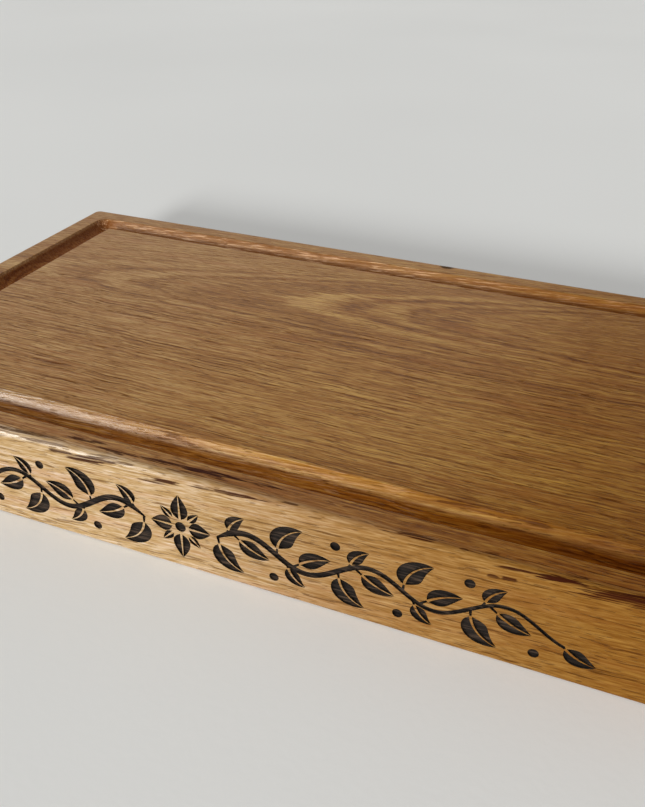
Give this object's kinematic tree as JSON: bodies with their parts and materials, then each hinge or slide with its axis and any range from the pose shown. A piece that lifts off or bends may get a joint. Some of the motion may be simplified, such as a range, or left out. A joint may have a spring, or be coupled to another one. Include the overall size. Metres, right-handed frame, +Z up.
{
  "type": "cutting board with drawer trays",
  "caption": "Thick oak cutting board with a juice groove round its work surface and steel drawer trays that slide out of its short ends.",
  "frame": {"origin": "middle of the board's footprint, on the surface that it stands on", "axes": "+X along the board's length, to the right as seen from the carved front; +Y to the rear; +Z up"},
  "size_m": [0.5, 0.3, 0.056],
  "materials": {
    "oak": "oiled oak, satin",
    "beech": "plain beech",
    "base_ply": "oak-veneered plywood, sealed",
    "tray_steel": "brushed stainless sheet",
    "screw_steel": "stainless screw"
  },
  "bodies": {
    "board": {"top_panel": "oak", "front_rail": "oak", "rear_rail": "oak", "front_tongue": "beech", "rear_tongue": "beech", "base_panel": "base_ply", "base_screws": "screw_steel", "centre_divider": "oak", "divider_dowels": "beech", "right_front_runner": "beech", "left_front_runner": "beech", "right_rear_runner": "beech", "left_rear_runner": "beech", "runner_screws": "screw_steel"},
    "left_drawer": {"left_tray": "tray_steel", "left_drawer_front": "oak", "left_tray_screws": "screw_steel"},
    "right_drawer": {"right_tray": "tray_steel", "right_drawer_front": "oak", "right_tray_screws": "screw_steel"}
  },
  "joints": [
    {"name": "left_drawer_slide", "type": "slide", "parent": "board", "child": "left_drawer", "axis": [-1, 0, 0], "range_m": [0, 0.17]},
    {"name": "right_drawer_slide", "type": "slide", "parent": "board", "child": "right_drawer", "axis": [1, 0, 0], "range_m": [0, 0.17]}
  ]
}
